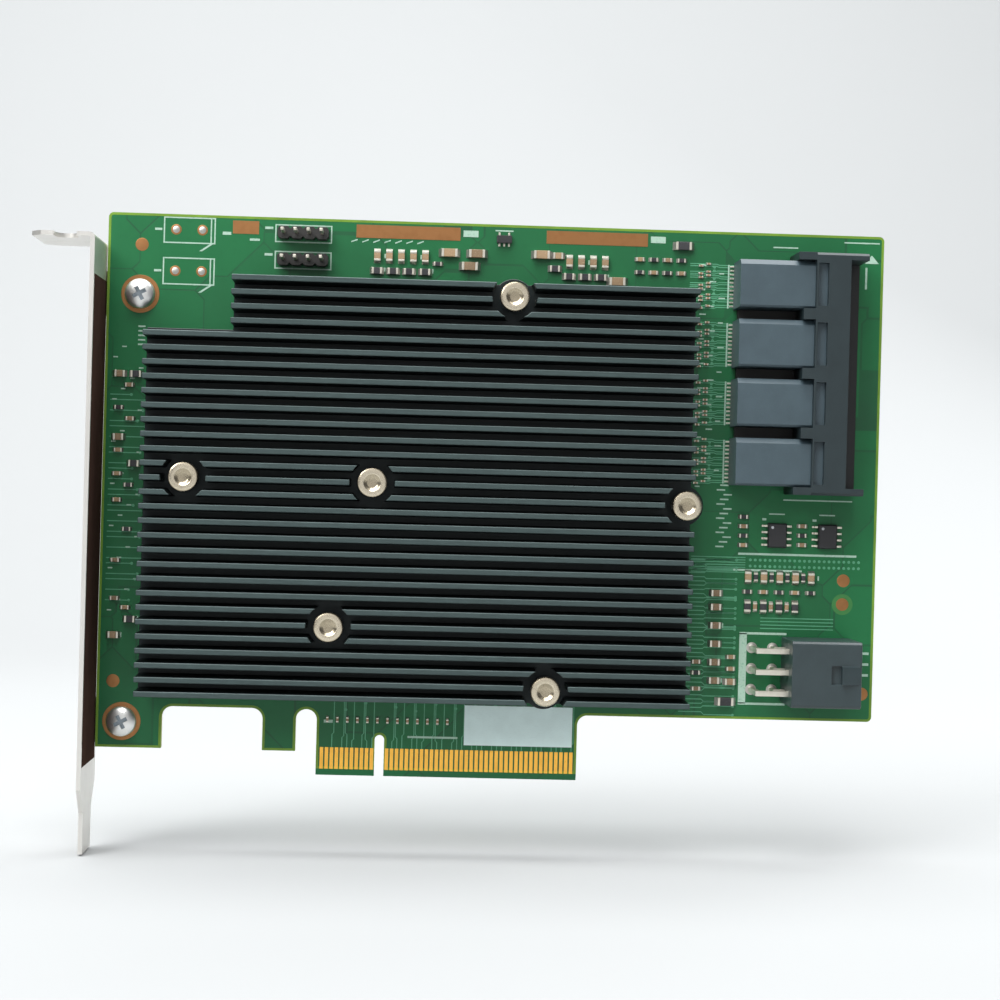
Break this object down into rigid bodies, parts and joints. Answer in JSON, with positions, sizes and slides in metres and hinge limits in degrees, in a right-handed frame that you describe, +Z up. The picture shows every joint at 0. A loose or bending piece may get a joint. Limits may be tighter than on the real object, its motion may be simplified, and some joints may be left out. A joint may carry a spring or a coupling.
{
  "type": "host bus adapter",
  "caption": "Full-height plug-in adapter card with a finned heat sink, a ganged storage cable receptacle, a power header and a slot bracket.",
  "frame": {"origin": "centre of the key slot on the lower edge of the card-edge tongue, mid-thickness of the board", "axes": "+Z up, out of the slot connector; +X along the card away from the bracket; component side faces -Y"},
  "size_m": [0.1682, 0.02, 0.1259],
  "materials": {
    "solder_mask": "green solder mask over glass laminate, satin gloss",
    "gold": "gold-plated contact",
    "copper": "bare copper, slightly dulled",
    "bracket_steel": "nickel-plated sheet steel",
    "bright_steel": "bright zinc-plated screw",
    "black_anodised": "black anodised extrusion",
    "pin_metal": "pale nickel-washed brass",
    "spring_steel": "drawn spring wire",
    "chip_package": "dark moulded package",
    "chip_lid": "plated metal lid on a green substrate",
    "thermal_pad": "soft grey gap pad",
    "connector_plastic": "blue-grey moulded plastic",
    "header_plastic": "black moulded plastic",
    "tin": "tin-plated",
    "capacitor_tan": "tan ceramic",
    "resistor_black": "dark glazed ceramic",
    "label_paper": "pale paper label, bare"
  },
  "bodies": {
    "root": {"circuit_board": "solder_mask", "edge_contacts_front": "gold", "edge_contacts_back": "gold", "copper_pads": "copper", "bracket": "bracket_steel", "bracket_screws": "bright_steel", "heat_sink": "black_anodised", "push_pins": "pin_metal", "pin_springs": "spring_steel", "upper_controller_chip": "chip_lid", "lower_controller_chip": "chip_lid", "switch_chip": "chip_lid", "upper_controller_pad": "thermal_pad", "lower_controller_pad": "thermal_pad", "switch_pad": "thermal_pad", "port_shroud": "connector_plastic", "port_block_1": "connector_plastic", "port_block_2": "connector_plastic", "port_block_3": "connector_plastic", "port_block_4": "connector_plastic", "power_housing": "connector_plastic", "power_pins": "tin", "header_base_1": "header_plastic", "header_base_2": "header_plastic", "header_pins": "gold", "small_chip_1": "chip_package", "small_chip_2": "chip_package", "small_chip_leads": "tin", "regulator_body": "chip_package", "regulator_leads": "tin", "capacitor_bodies": "capacitor_tan", "resistor_bodies": "resistor_black", "passive_ends": "tin", "label": "label_paper"}
  },
  "joints": []
}
